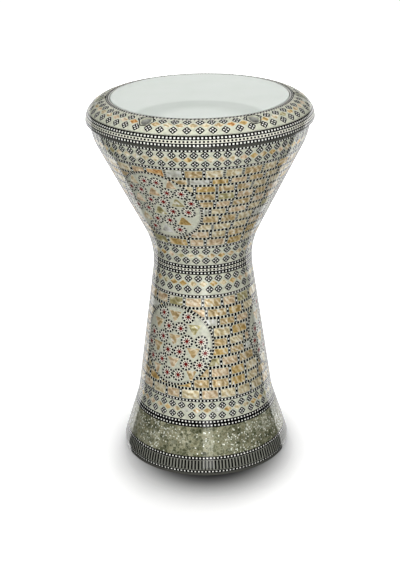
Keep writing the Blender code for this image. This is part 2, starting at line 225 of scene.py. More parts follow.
def flake_pearl(name):
    """Crushed shell set in dark green resin: broad flakes, pale veins, and bright specks painted in as sparkle."""
    material, tree, shader = new_finish(name, Roughness=0.34, Metallic=0.12)
    here = lacquer(tree, shader)

    def channel(colour, name):
        return node(tree, "ShaderNodeSeparateColor", Color=colour).outputs[name]

    def reshape(value, **ends):
        return node(tree, "ShaderNodeMapRange", Value=value, **ends).outputs["Result"]

    def figure(operation, first, second):
        return node(tree, "ShaderNodeMath", operation=operation, _0=first, _1=second).outputs["Value"]

    # Broad flakes with pale veins between, on a slightly bent ground
    warp = node(tree, "ShaderNodeTexNoise", Vector=here, Scale=90.0, Detail=3.0)
    bent = node(tree, "ShaderNodeVectorMath", operation="MULTIPLY_ADD", _0=warp.outputs["Color"],
                _1=(0.009, 0.009, 0.009), _2=here).outputs["Vector"]
    flakes = tilted_layers(tree, shader, bent, 250.0, 0.34)
    tone = colour_ramp(tree, channel(flakes.outputs["Color"], "Red"), (0.0, (122, 126, 102)),
                       (1.0, (198, 196, 174)), (0.45, (154, 155, 131)), (0.7, (172, 169, 144)))
    veins = node(tree, "ShaderNodeTexVoronoi", feature="DISTANCE_TO_EDGE", Vector=bent, Scale=250.0)
    vein = reshape(veins.outputs["Distance"], From_Max=0.16, To_Min=0.55, To_Max=0.0)
    veined = mix(tree, tone, paint((226, 226, 208)), factor=vein)

    # Slow clouds of darker resin
    cloud = node(tree, "ShaderNodeTexNoise", Vector=here, Scale=50.0, Detail=6.0, Roughness=0.65)
    shade = colour_ramp(tree, cloud.outputs["Fac"], (0.34, (168, 170, 156)), (0.66, (255, 255, 255)),
                        (0.5, (228, 228, 220)))
    worn = mix(tree, veined, shade, "MULTIPLY")

    # Painted sparkle: bright specks in swarms, painted into the colour as glints
    swarm = node(tree, "ShaderNodeTexNoise", Vector=here, Scale=21.0, Detail=2.0)
    thick = reshape(swarm.outputs["Fac"], From_Min=0.40, From_Max=0.66, To_Min=0.02, To_Max=0.42)
    specks = node(tree, "ShaderNodeTexVoronoi", Vector=here, Scale=420.0)
    chosen = figure("LESS_THAN", channel(specks.outputs["Color"], "Green"), thick)
    near = figure("LESS_THAN", specks.outputs["Distance"], 0.44)
    settle(tree, shader, Base_Color=mix(tree, worn, paint((244, 246, 236)), factor=figure("MULTIPLY", chosen, near)))
    return material


def metal(name, colour, roughness, grain, depth, metallic=1.0):
    """Bare metal with a fine grain."""
    material, tree, shader = new_finish(name, Metallic=metallic, Roughness=roughness)
    here = node(tree, "ShaderNodeTexCoord").outputs["Object"]
    cloud = node(tree, "ShaderNodeTexNoise", Vector=here, Scale=grain, Detail=6.0, Roughness=0.65).outputs["Fac"]
    low = tuple(round(c * 0.86) for c in colour)
    high = tuple(min(255, round(c * 1.08)) for c in colour)
    bump = node(tree, "ShaderNodeBump", Height=cloud, Strength=0.35, Distance=depth)
    settle(tree, shader, Base_Color=colour_ramp(tree, cloud, (0.3, low), (0.7, high)), Normal=bump.outputs["Normal"])
    return material


def film_plastic():
    """Milky moulded head: satin, with a faint grain and painted shade: a soft darker crescent near its front rim."""
    material, tree, shader = new_finish(
        "film_plastic", Roughness=0.32, Subsurface_Weight=0.15, Subsurface_Radius=(0.004, 0.004, 0.004),
        Subsurface_Scale=1.0, Specular_IOR_Level=0.4)
    here = node(tree, "ShaderNodeTexCoord").outputs["Object"]
    cloud = node(tree, "ShaderNodeTexNoise", Vector=here, Scale=26.0, Detail=4.0)
    milk = colour_ramp(tree, cloud.outputs["Fac"], (0.3, (243, 249, 243)), (0.7, (248, 253, 248)))
    grain = node(tree, "ShaderNodeTexNoise", Vector=here, Scale=2600.0, Detail=2.0)
    bump = node(tree, "ShaderNodeBump", Height=grain.outputs["Fac"], Strength=0.12, Distance=0.0004)
    # Painted shade: a darker crescent near the front rim, centred just past the film's front edge
    place = node(tree, "ShaderNodeMapping", Vector=here, Location=(0.02, 1.056, 0), Scale=(10, 10, 0))
    reach = node(tree, "ShaderNodeVectorMath", operation="LENGTH", _0=place.outputs["Vector"])
    shade = colour_ramp(tree, reach.outputs["Value"], (0.34, (255, 255, 255)), (0.80, (255, 255, 255)),
                        (0.54, (241, 242, 241)), (0.73, (239, 240, 239)))
    settle(tree, shader, Base_Color=mix(tree, milk, shade, "MULTIPLY"), Normal=bump.outputs["Normal"])
    return material


LOOKS = {
    "resin": mottled_inlay("pale_resin", (204, 205, 189), (230, 231, 216), 260.0),
    "ivory": plain_inlay("ivory_square", (250, 250, 244)),
    "cream": mottled_inlay("cream_strip", (228, 227, 212), (242, 241, 230), 120.0),
    "ebony": plain_inlay("ebony_strip", (6, 6, 5)),
    "ink": plain_inlay("ebony_dot", (8, 8, 7)),
    "grey": plain_inlay("grey_bar", (150, 151, 142)),
    "line": plain_inlay("grey_line", (84, 85, 80)),
    "red": mottled_inlay("red_centre", (112, 20, 16), (150, 40, 30), 400.0),
    "blush": plain_inlay("blush_petal", (250, 236, 224)),
    "tan": pearl("pearl_tan", (172, 150, 110), (203, 180, 136), (234, 219, 187)),
    "sand": pearl("pearl_sand", (190, 174, 138), (220, 205, 168), (246, 239, 216)),
    "gold": pearl("pearl_gold", (172, 142, 90), (206, 178, 118), (236, 216, 170)),
    "pink": pearl("pearl_pink", (192, 166, 132), (220, 198, 164), (246, 233, 210)),
    "olive": pearl("pearl_olive", (156, 148, 106), (184, 176, 132), (218, 212, 178)),
    "orange": pearl("pearl_orange", (182, 132, 78), (212, 164, 106), (234, 202, 152)),
    "silver": pearl("pearl_silver", (196, 195, 182), (224, 224, 213), (243, 243, 236), (255, 255, 252), 0.25),
    "flake": flake_pearl("flake_pearl"),
}
PEARLS = ["tan"] * 8 + ["sand"] * 7 + ["gold"] * 5 + ["pink"] * 4 + ["olive"] * 2 + ["orange"] + ["silver"] * 2
CAST = metal("cast_aluminium", (226, 226, 221), 0.5, 700.0, 0.0003, 0.3)
# Painted shade for the seam between the tuning ring and the shell; it also darkens the foot's bottom edge
SEAM_SHADE = plain_inlay("joint_paint", (104, 104, 98))
HOOP = metal("hoop_aluminium", (205, 205, 206), 0.28, 1400.0, 0.0001)
STEEL = metal("screw_steel", (186, 186, 188), 0.3, 1600.0, 0.0001)
FILM = film_plastic()
BEAD = mottled_inlay("bead_resin", (206, 196, 158), (224, 214, 178), 300.0, 0.5)


# ---------------------------------------------------------------- marquetry layout
class Band:
    """One inlaid band laid out flat. Later tiles lie over earlier ones."""

    def __init__(self, name, wall, low, high, ground, rows, seed):
        self.name, self.wall, self.low, self.high, self.rows = name, wall, low, high, rows
        self.tiles = [((low, high), ground, "strip")]
        self.chance = random.Random(seed)
        self.discs, self.holes = [], []

    def lay(self, look, angle, s, corners, turn=0.0):
        """A tile from millimetre corners about a point of the wall."""
        c, w = math.cos(turn), math.sin(turn)
        spots = [(x * c - y * w, s + x * w + y * c) for x, y in corners]
        heights = np.array([y for _, y in spots])
        radii = self.wall.radius(heights)
        outline = [(angle + x / r, y) for (x, y), r in zip(spots, radii)]
        # Every outline runs anticlockwise, as the cut needs
        if sum(a[0] * b[1] - b[0] * a[1] for a, b in zip(corners, corners[1:] + corners[:1])) < 0:
            outline.reverse()
        self.tiles.append((outline, look, None))
        return len(self.tiles) - 1

    def strip(self, look, low, high):
        """A plain strip all the way round."""
        self.tiles.append(((low, high), look, "strip"))

    def pearl(self):
        return self.chance.choice(PEARLS)

    def repeat(self, s, pitch):
        """Angles that share out the round at a height by a pitch."""
        count = max(3, round(TURN * float(self.wall.radius(s)) / pitch))
        start = self.chance.random() * TURN / count
        return [start + k * TURN / count for k in range(count)]


def box(width, height):
    w, h = width / 2, height / 2
    return [(-w, -h), (w, -h), (w, h), (-w, h)]


def lozenge(width, height):
    w, h = width / 2, height / 2
    return [(0, -h), (w, 0), (0, h), (-w, 0)]


def disc(radius, count=8, tall=1.0, turn=0.0):
    return [(radius * math.cos(turn + TURN * k / count), radius * tall * math.sin(turn + TURN * k / count))
            for k in range(count)]


def dotted(band, s, height):
    """Ebony strip with ivory squares."""
    band.strip("ebony", s - height / 2, s + height / 2)
    for angle in band.repeat(s, 4.45):
        band.lay("ivory", angle, s, box(2.15, 2.0))


FLOWER = [(0, -0.53), (0.29, -0.29), (0.53, 0), (0.29, 0.29), (0, 0.53), (-0.29, 0.29), (-0.53, 0), (-0.29, -0.29)]


def flower(band, angle, s, size, tall):
    """Ebony lozenge that holds four ivory ones in a cross."""
    turn = band.chance.uniform(-0.07, 0.07)
    s += band.chance.uniform(-0.25, 0.25)
    band.lay("ebony", angle, s, [(x * size, y * tall) for x, y in FLOWER], turn)
    for dx, dy in ((0, 0.24), (0.24, 0), (0, -0.24), (-0.24, 0)):
        corners = [(x + dx * size, y + dy * tall) for x, y in lozenge(size * 0.26, tall * 0.26)]
        band.lay("ivory", angle, s, corners, turn)
    band.lay("grey", angle, s, lozenge(size * 0.2, tall * 0.2), turn)


def frieze(band, low, middle, high, pitch, size=9.6, tall=9.0, gem=(10.5, 7.6)):
    """Two rows of flowers with pearl lozenges between."""
    angles = band.repeat(middle, pitch)
    step = angles[1] - angles[0]
    for angle in angles:
        wander = band.chance.uniform(-0.06, 0.06) * step
        for s in (low, high):
            flower(band, angle + wander + band.chance.uniform(-0.04, 0.04) * step, s, size, tall)
        look = band.pearl()
        band.lay("cream", angle + step / 2, middle, lozenge(gem[0] + 0.8, gem[1] + 0.8))
        band.lay(look, angle + step / 2, middle, lozenge(*gem))


# Half the height of a mortar line, and the width of an upright joint between two bricks
MORTAR, UPRIGHT = 1.4, 3.1


def bricks(band, lines, pitch):
    """Pearl bricks between dotted mortar lines."""
    for line in lines[1:-1]:
        band.strip("cream", line - MORTAR, line + MORTAR)
        for angle in band.repeat(line, 4.65):
            band.lay("ink", angle, line, box(2.9, 3.0))
    for low, high in zip(lines, lines[1:]):
        bottom = low + (MORTAR if low != lines[0] else 0.4)
        top = high - (MORTAR if high != lines[-1] else 0.4)
        middle, height = (bottom + top) / 2, top - bottom
        radius = float(band.wall.radius(middle))
        joints = band.repeat(middle, pitch)
        step = joints[1] - joints[0]
        joints = [a + band.chance.uniform(-0.09, 0.09) * step for a in joints]
        for here, beyond in zip(joints, joints[1:] + [joints[0] + TURN]):
            double = band.chance.random() < 0.12
            band.lay("ebony" if not double else "cream", here, middle, box(UPRIGHT, height))
            if double:
                for dy in (-0.36, -0.12, 0.12, 0.36):
                    band.lay("ink", here, middle + dy * height, box(2.9, height * 0.15))
            else:
                for dy in (-0.26, 0.26):
                    band.lay("ivory", here, middle + dy * height, box(1.9, height * 0.24))
            wide = (beyond - here) * radius - UPRIGHT
            band.lay(band.pearl(), (here + beyond) / 2, middle, box(wide - 1.3, height - 1.2))


def rosette(band, angle, s, dx, dy):
    """Red star with ivory petals inside a ring of dots."""
    turn = band.chance.uniform(0, TURN)
    dx += band.chance.uniform(-0.4, 0.4)
    dy += band.chance.uniform(-0.4, 0.4)

    def put(look, corners):
        band.lay(look, angle, s, [(x + dx, y + dy) for x, y in corners])

    def spun(corners, a, r=0.0):
        c, w = math.cos(a), math.sin(a)
        return [((x + r) * c - y * w, (x + r) * w + y * c) for x, y in corners]

    put("line", disc(8.35, 24))
    put("cream", disc(8.0, 24))
    for k in range(11):
        put("ink", spun(disc(1.4, 7), turn + TURN * k / 11, 6.9))
    put("cream", disc(5.65, 22))
    put("ink", disc(4.3, 20))
    for k in range(8):
        put("blush", spun([(1.6, 0), (3.0, -0.8), (4.1, -0.8), (4.1, 0.8), (3.0, 0.8)], turn + TURN * (k + 0.5) / 8))
    put("red", [spun([(3.4 if k % 2 == 0 else 1.5, 0)], turn + TURN * k / 16)[0] for k in range(16)])


# Height of each row over a medallion's centre: how far to either side its rosettes or pearl triangles stand
ROSETTES = {37.4: (17,), 22.4: (8.5,), 7.4: (17, 35.5), -7.4: (8.5, 43.5), -22.4: (17.5, 34.5), -37.4: (8.2,)}
TRIANGLES = {37.4: (0,), 22.4: (26,), 7.4: (0,), -7.4: (26,), -22.4: (0,), -36.4: (25,)}
RIM_SIDES = 84


def medallion(band, angle, s, radius, way):
    """Round panel of rosettes and pearl triangles in a dotted border. way -1 stands it on its head."""
    index = band.lay("resin", angle, s, disc(radius, RIM_SIDES))
    band.discs.append((index, angle, s, radius))
    for look, inset in (("line", 0.1), ("cream", 0.4)):
        band.lay(look, angle, s, disc(radius - inset, RIM_SIDES))
    middle = radius - 1.5
    count = round(TURN * middle / 4.4)
    for k in range(count):
        a = TURN * k / count
        band.lay("ink", angle, s, [(middle * math.cos(a) + x, middle * math.sin(a) + y)
                                   for x, y in disc(1.8, 4, 1.0, a + math.pi / 4)])
    for look, inset in (("line", 2.6), ("cream", 2.95), ("line", 3.7), ("resin", 4.0)):
        band.lay(look, angle, s, disc(radius - inset, RIM_SIDES))
    inner = radius - 4.0
    for y, spots in TRIANGLES.items():
        for x in {v for spot in spots for v in (spot, -spot)}:
            wide = 8.4 if math.hypot(x, y) < 38 else 6.6
            kite = [(-wide, 6.0), (wide, 6.0), (wide * 0.16, -6.4), (-wide * 0.16, -6.4)]
            band.lay("cream", angle, s, [(x + u * 1.08, way * (y + v * 1.08)) for u, v in kite])
            band.lay(band.pearl(), angle, s, [(x + u, way * (y + v)) for u, v in kite])
    for y, spots in ROSETTES.items():
        for x in {v for spot in spots for v in (spot, -spot)}:
            away = math.hypot(x, y)
            keep = (inner - 6.2) / away if away > inner - 7.0 else 1.0
            rosette(band, angle, s, x * keep, way * y * keep)


# ---------------------------------------------------------------- cutting the layout into meshes
GRID = math.radians(3.0)
SKIN_THICKNESS = 1.8


class Sheet:
    """Outlines and cut lines on the flat, for one cut into triangles."""

    def __init__(self, scale, spots=()):
        self.scale, self.verts = scale, list(spots)
        self.edges, self.faces, self.owners = [], [], []

    def add(self, corners):
        base = len(self.verts)
        self.verts += [Vector((a * self.scale, s)) for a, s in corners]
        return base

    def outline(self, index, corners):
        base = self.add(corners)
        self.faces.append(list(range(base, base + len(corners))))
        self.owners.append(index)

    def line(self, start, end):
        base = self.add([start, end])
        self.edges.append((base, base + 1))

    def cut(self, regions, holes):
        """The cut's points, and its triangles as (corners, places, top tile, disc number)."""
        spots, _, cells, _, _, origin = delaunay_2d_cdt(self.verts, self.edges, self.faces, 1, 1e-5, True)
        kept = []
        for cell, source in zip(cells, origin):
            covers = sorted(self.owners[k] for k in source)
            if 0 in covers and not holes.intersection(covers):
                region = ([0] + [regions[k] for k in covers if k in regions])[-1]
                kept.append((cell, [(spots[v].x / self.scale, spots[v].y) for v in cell], covers[-1], region))
        return spots, kept


def cut(band, step_up):
    """Cuts the band's layout into triangles and builds its closed skins: the band and its discs."""
    low, high = band.low, band.high
    scale = float(band.wall.radius((low + high) / 2))
    steps = max(1, round((high - low) / step_up))
    levels = [low + (high - low) * k / steps for k in range(1, steps)]
    per_row = round(TURN / GRID / band.rows)
    # A random shift per tile, which moves the pearl's layers
    tone = [band.chance.random() * 60 for _ in band.tiles]
    regions = {d[0]: k + 1 for k, d in enumerate(band.discs)}
    holes = set(band.holes)
    front, back = [], []
    for row in range(band.rows):
        start, end = row * per_row * GRID, (row + 1) * per_row * GRID
        pieces = []
        for index, (outline, _, kind) in enumerate(band.tiles):
            if kind:
                s0, s1 = outline
                pieces.append((index, [(start, s0), (end, s0), (end, s1), (start, s1)]))
                continue
            a0, a1 = min(p[0] for p in outline), max(p[0] for p in outline)
            for k in range(-2, 3):
                if a1 + k * TURN > start and a0 + k * TURN < end:
                    pieces.append((index, [(a + k * TURN, s) for a, s in outline]))
        tiles = Sheet(scale)
        for index, outline in pieces:
            tiles.outline(index, outline)
        for k in range(per_row + 1):
            tiles.line((start + k * GRID, low), (start + k * GRID, high))
        for s in levels:
            tiles.line((start, s), (end, s))
        spots, cells = tiles.cut(regions, holes)
        border = {}
        for cell, places, top, region in cells:
            front.append((places, top, region, row))
            for a, b in zip(cell, cell[1:] + cell[:1]):
                key = (min(a, b), max(a, b), region)
                border[key] = border.get(key, 0) + 1
        rims = {v for (a, b, _), times in border.items() if times == 1 for v in (a, b)}
        plain = Sheet(scale, [spots[v].copy() for v in rims])
        for index, outline in pieces:
            if index == 0 or index in regions or index in holes:
                plain.outline(index, outline)
        for k in range(per_row + 1):
            plain.line((start + k * GRID, low), (start + k * GRID, high))
        back += [(places, region, row) for _, places, _, region in plain.cut(regions, holes)[1]]
    return [build(band, region, [f for f in front if f[2] == region], [b for b in back if b[1] == region], tone)
            for region in range(len(band.discs) + 1)]


def build(band, region, front, back, tone):
    """One closed skin: mosaic front, plain back and a rim between."""
    wall, places, keys = band.wall, {}, []

    def vertex(angle, s, layer):
        # Points within a thousandth of a millimetre weld, also where the round closes
        key = (round((angle % TURN) * 2e5) % round(TURN * 2e5), round(s * 2e3), layer)
        if key not in places:
            places[key] = len(keys)
            keys.append((angle, s, layer))
        return places[key]

    names = sorted({band.tiles[f[1]][1] for f in front})
    slots = {n: k for k, n in enumerate(names)}
    # Each facet is its points, slot, shift and place in the bake's square: the front takes the lower 93 percent,
    # the back a strip over it, and the rim four thin rows at the top
    facets, open_edges = [], {}
    span, height = TURN / band.rows, band.high - band.low
    for corners, top, _, row in front:
        ids = [vertex(a, s, 0) for a, s in corners]
        if len(set(ids)) < 3:
            continue
        if region:
            _, a0, s0, radius = band.discs[region - 1]
            flat = [(0.5 + 0.46 * ((a - a0 + math.pi) % TURN - math.pi) * wall.radius(s) / radius,
                     0.465 + 0.46 * (s - s0) / radius) for a, s in corners]
        else:
            flat = [((a - row * span) / span, 0.93 * (row + 0.01 + 0.96 * (s - band.low) / height) / band.rows)
                    for a, s in corners]
        facets.append((ids, slots[band.tiles[top][1]], tone[top], flat))
        for (p, q), (c, d) in zip(zip(ids, ids[1:] + ids[:1]), zip(corners, corners[1:] + corners[:1])):
            if (q, p) in open_edges:
                del open_edges[(q, p)]
            else:
                open_edges[(p, q)] = (c, d)
    fronts = len(facets)
    for corners, _, row in back:
        ids = [vertex(a, s, 1) for a, s in corners]
        if len(set(ids)) < 3:
            continue
        flat = [((a - row * span) / span if not region else (a - band.discs[region - 1][1] + 1.5) % TURN / 3,
                 0.935 + 0.04 * (row + 0.9 * (s - band.low) / height) / band.rows) for a, s in corners[::-1]]
        facets.append((ids[::-1], 0, 0.0, flat))
    backs = len(facets)
    cell = 1 / max(1, len(open_edges) // 4 + 1)
    for k, ((p, q), (c, d)) in enumerate(open_edges.items()):
        u, v = k // 4 * cell, 0.978 + 0.0055 * (k % 4)
        flat = [(u, v), (u + 0.9 * cell, v), (u + 0.9 * cell, v + 0.004), (u, v + 0.004)]
        facets.append(([q, p, vertex(*c, 1), vertex(*d, 1)], slots.get("resin", 0), 0.0, flat))
    faces, looks, tones, flat = map(list, zip(*facets))
    angles, heights, layers = (np.array(column) for column in zip(*keys))
    outer, inner = wall.place(angles, heights), wall.place(angles, heights, SKIN_THICKNESS)
    points = np.where(layers[:, None] == 0, outer, inner)
    normals = wall.normal(angles, heights)
    name = band.name if region == 0 else band.name.replace("mosaic", f"medallion_{region}")
    mesh = bpy.data.meshes.new(name + "_skin")
    mesh.from_pydata([tuple(p) for p in points], [], faces)
    for n in names:
        mesh.materials.append(LOOKS[n])
    mesh.polygons.foreach_set("material_index", looks)
    mesh.polygons.foreach_set("use_smooth", [True] * len(faces))
    attribute = mesh.attributes.new("tile", "FLOAT", "FACE")
    attribute.data.foreach_set("value", tones)
    uv = mesh.uv_layers.new(name="OFBake")
    uv.data.foreach_set("uv", [c for loop in flat for pair in loop for c in pair])
    mesh.validate(clean_customdata=False)
    corner_normals = []
    for k, polygon in enumerate(mesh.polygons):
        if k < fronts:
            corner_normals += [tuple(normals[v]) for v in polygon.vertices]
        elif k < backs:
            corner_normals += [tuple(-normals[v]) for v in polygon.vertices]
        else:
            corner_normals += [tuple(polygon.normal)] * len(polygon.vertices)
    mesh.normals_split_custom_set(corner_normals)
    piece = bpy.data.objects.new(name + "_skin", mesh)
    bpy.context.scene.collection.objects.link(piece)
    return piece


# ---------------------------------------------------------------- the bands
up = SHELL.up


def stand_in(piece, name, body):
    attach(piece, body)
    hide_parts(name)


def skin(band, body="drum", step_up=6.0):
    """Builds a band's skins in place of the CAD nodes of the same names."""
    for piece in cut(band, step_up):
        name = piece.name.removesuffix("_skin")
        stand_in(piece, name, body)


def squares(band, s, rows_s, pitch=4.45, width=2.1, height=2.0):
    """Ivory squares laid out at one height and set at another."""
    for a in band.repeat(s, pitch):
        band.lay("ivory", a, rows_s, box(width, height))


# Heights of the borders between the bands, and how far a dotted edge reaches past its border
GAP, EDGE = 0.12, 1.6
FOOT_Z, STRIPE_Z, PEARL_Z, FRIEZE_Z, STEM_Z = 4.2, 24.6, 60.0, 93.4, 225.0
LOW_WAIST_Z, WAIST_Z, NECK_Z, BOWL_Z, TOP_Z = 252.4, 265.0, 291.0, 405.0, 430.2
NECK_EDGE = 1.2

stripe = Band("foot_stripe_band", SHELL, up(FOOT_Z) + GAP, up(STRIPE_Z) - GAP, "line", 8, 1)
stripe.strip("ebony", stripe.low, stripe.low + 3.6)
squares(stripe, up(6.0), stripe.low + 1.75)
stripe.strip("ebony", stripe.high - 3.9, stripe.high - 0.1)
squares(stripe, up(21.2), stripe.high - 1.9)
stripe.strip("grey", stripe.low + 4.0, stripe.high - 4.2)
middle = (stripe.low + 4.5 + stripe.high - 4.7) / 2
for a in stripe.repeat(middle, 4.25):
    stripe.lay("ebony", a, middle, box(1.95, stripe.high - stripe.low - 9.6))
skin(stripe, step_up=3.0)

pearl_band = Band("foot_pearl_band", SHELL, up(STRIPE_Z) + GAP, up(PEARL_Z) - GAP, "flake", 5, 2)
skin(pearl_band)

foot = Band("foot_frieze", SHELL, up(PEARL_Z) + GAP, up(FRIEZE_Z) + EDGE, "resin", 5, 3)
foot.strip("ebony", foot.low, foot.low + 8.6)
for s in (foot.low + 2.1, foot.low + 6.4):
    squares(foot, s, s, 4.5, 2.15)
frieze(foot, up(73.6) + 0.4, up(80.6), up(85.5) + 0.9, 13.0)
dotted(foot, foot.high - 1.7, 3.4)
skin(foot)

MEDALLION_TURN = math.radians(-121.0)


def brickwork(name, low, high, lines, seed, height, radius, way, step_up):
    """Band of pearl bricks with three medallions let in."""
    band = Band(name, SHELL, low, high, "resin", 3, seed)
    bricks(band, lines, 23.4)
    for k in range(3):
        medallion(band, MEDALLION_TURN + k * TURN / 3, up(height), radius, way)
    skin(band, step_up=step_up)


stem_low = up(FRIEZE_Z) + EDGE + GAP
stem_lines = [up(z) for z in (108.3, 121.9, 135.6, 148.9, 160.6, 173.0, 186.7, 198.2, 210.7)]
brickwork("stem_mosaic", stem_low, up(STEM_Z) - GAP, [stem_low] + stem_lines + [up(STEM_Z) - EDGE],
          4, 161.4, 52.0, 1, 30.0)

low_waist = Band("lower_waist_frieze", SHELL, up(STEM_Z) - EDGE, up(LOW_WAIST_Z) - GAP, "resin", 4, 5)
dotted(low_waist, low_waist.low + 1.8, 3.4)
frieze(low_waist, up(234.0), up(241.0), up(247.4), 12.8)
skin(low_waist)

waist = Band("waist_strip", SHELL, up(LOW_WAIST_Z) + GAP, up(WAIST_Z) - GAP, "ebony", 5, 6)
dotted(waist, waist.low + 2.0, 3.9)
dotted(waist, waist.high - 2.0, 3.9)
middle = (waist.low + waist.high) / 2
waist.strip("cream", middle - 1.7, middle + 1.7)
for a in waist.repeat(middle, 4.5):
    waist.lay("ink", a, middle, disc(1.3, 8, 0.9))
skin(waist, step_up=3.0)

high_waist = Band("upper_waist_frieze", SHELL, up(WAIST_Z) + GAP, up(NECK_Z) + NECK_EDGE, "resin", 4, 7)
frieze(high_waist, up(271.0), up(277.7), up(284.0), 12.8)
dotted(high_waist, high_waist.high - 1.8, 3.4)
skin(high_waist, step_up=4.0)

bowl_low, bowl_high = up(NECK_Z) + NECK_EDGE + GAP, up(BOWL_Z) - GAP - EDGE
bowl_lines = [up(z) for z in (303.9, 315.9, 326.5, 339.0, 349.3, 359.9, 371.4, 382.2, 391.8)]
brickwork("bowl_mosaic", bowl_low, bowl_high, [bowl_low] + bowl_lines + [bowl_high], 8, 349.8, 53.0, -1, 15.0)

top = Band("top_frieze", SHELL, up(BOWL_Z) - EDGE, up(TOP_Z) - GAP, "resin", 6, 9)
dotted(top, top.low + 1.8, 3.4)
frieze(top, up(411.8), up(417.4), up(422.9), 12.8)
dotted(top, top.high - 1.6, 3.0)
skin(top)

# Tuning ring's facings, measured along the dome from its widest line
STRIP_TOP = 13.0
strip = Band("ring_strip", DOME, 0.45, STRIP_TOP, "ebony", 8, 10)
for s in (2.1, 10.5):
    squares(strip, s, s, 4.43, 2.35, 2.2)
strip.strip("line", 4.05, 4.35)
strip.strip("cream", 4.35, 8.2)
strip.strip("line", 8.2, 8.5)
for a in strip.repeat(6.3, 4.55):
    strip.lay("ink", a, 6.3, disc(1.32, 8, 0.9))
skin(strip, "ring", 1.6)

face = Band("ring_face", DOME, STRIP_TOP + 0.05, DOME.s[-1] - 1.9, "resin", 6, 11)
face.strip("line", STRIP_TOP + 0.5, STRIP_TOP + 0.85)
frieze(face, 19.6, 26.6, 32.4, 14.4, 10.0, 9.2, (12.6, 7.6))
face.strip("cream", 36.4, 38.6)
for a in face.repeat(37.5, 4.43):
    face.lay("ink", a, 37.5, disc(0.8, 8, 0.8))
face.strip("ebony", 38.9, face.high)
squares(face, 40.6, 40.4, 4.43, 2.1, 1.5)
SCREW_R, POCKET_R = 120.5, 6.25
SCREW_TURNS = [math.radians(-60 + 60 * k) for k in range(6)]
dome_r, dome_s = DOME.r[::-1], DOME.s[::-1]
for a0 in SCREW_TURNS:
    s0 = float(np.interp(SCREW_R, dome_r, dome_s))
    face.lay("ebony", a0, s0, disc(10.0, 6, 0.98))
    face.lay("resin", a0, s0, disc(8.7, 6, 0.98))
    rim = [(a0 + math.atan2(y, SCREW_R + x), float(np.interp(math.hypot(SCREW_R + x, y), dome_r, dome_s)))
           for x, y in disc(POCKET_R, 32)]
    face.tiles.append((rim, "resin", None))
    face.holes.append(len(face.tiles) - 1)
skin(face, "ring", 1.6)


# ---------------------------------------------------------------- metalwork and head
def deselect():
    bpy.ops.object.select_all(action="DESELECT")


def pick(piece):
    deselect()
    piece.select_set(True)
    bpy.context.view_layer.objects.active = piece


def spot_on(radius, angle, height=0.0):
    """Point in metres from millimetres round the drum's axis."""
    return (radius * math.cos(angle) * MM, radius * math.sin(angle) * MM, height * MM)


def select_open_edges(wire):
    """Selects the rims of the active mesh's holes, and with wire its loose edges."""
    bpy.ops.mesh.select_mode(type="EDGE")
    bpy.ops.mesh.select_all(action="DESELECT")
    bpy.ops.mesh.select_non_manifold(extend=False, use_wire=wire, use_boundary=True, use_multi_face=False,
                                     use_non_contiguous=False, use_verts=False)


def select_faces(piece, wanted):
    """Enters edit mode with just the faces selected that a test wants."""
    bpy.ops.object.mode_set(mode="EDIT")
    bpy.ops.mesh.select_mode(type="FACE")
    bpy.ops.mesh.select_all(action="DESELECT")
    shape = bmesh.from_edit_mesh(piece.data)
    for f in shape.faces:
        f.select = wanted(f)
    bmesh.update_edit_mesh(piece.data)


def turn(name, outline, look, sides=180):
    """Turned piece: a circle drawn along its closed outline in extrusions, then bridged to its start."""
    deselect()
    bpy.ops.mesh.primitive_circle_add(vertices=sides, radius=outline[0][0] * MM, location=(0, 0, outline[0][1] * MM))
    piece = bpy.context.object
    piece.name = name
    bpy.ops.object.transform_apply(location=True)
    bpy.ops.object.mode_set(mode="EDIT")
    bpy.ops.mesh.select_all(action="SELECT")
    for before, here in zip(outline, outline[1:]):
        bpy.ops.mesh.extrude_edges_move(TRANSFORM_OT_translate={"value": (0, 0, (here[1] - before[1]) * MM)})
        share = here[0] / before[0]
        bpy.ops.transform.resize(value=(share, share, 1), center_override=(0, 0, 0))
    select_open_edges(wire=True)
    bpy.ops.mesh.bridge_edge_loops()
    bpy.ops.mesh.select_all(action="SELECT")
    bpy.ops.mesh.normals_make_consistent(inside=False)
    bpy.ops.object.mode_set(mode="OBJECT")
    piece.data.materials.append(look)
    bpy.ops.object.shade_smooth_by_angle(angle=math.radians(35))
    return piece


def rods(radius, low, high, sides=32):
    """Upright rods on the six screw axes, as one tool."""
    deselect()
    made = []
    for a in SCREW_TURNS:
        bpy.ops.mesh.primitive_cylinder_add(vertices=sides, radius=radius * MM, depth=(high - low) * MM,
                                            location=spot_on(SCREW_R, a, (low + high) / 2))
        made.append(bpy.context.object)
    for rod in made:
        rod.select_set(True)
    bpy.ops.object.join()
    bpy.ops.object.transform_apply(location=True)
    return bpy.context.object


def combine(piece, tool, how):
    """Adds a tool to a piece or cuts it away."""
    pick(piece)
    joining = piece.modifiers.new(how.title(), "BOOLEAN")
    joining.operation = how
    joining.solver = "EXACT"
    joining.object = tool
    bpy.ops.object.modifier_apply(modifier=joining.name)
    bpy.data.objects.remove(tool)


def smooth(piece, angle=35):
    pick(piece)
    bpy.ops.object.shade_smooth_by_angle(angle=math.radians(angle))


def paint_seam_shade(piece, in_shade):
    """Painted shade: dark paint on the faces of a casting that a test picks by their place."""
    piece.data.materials.append(SEAM_SHADE)
    for polygon in piece.data.polygons:
        if in_shade(polygon.center.xy.length, polygon.center.z):
            polygon.material_index = 1


def along(wall, start, end, count, depth):
    """Points of a wall's outline at a depth under its face."""
    spots = np.linspace(start, end, count)
    placed = wall.place(np.zeros(count), spots, depth) / MM
    return [(p[0], p[2]) for p in placed]


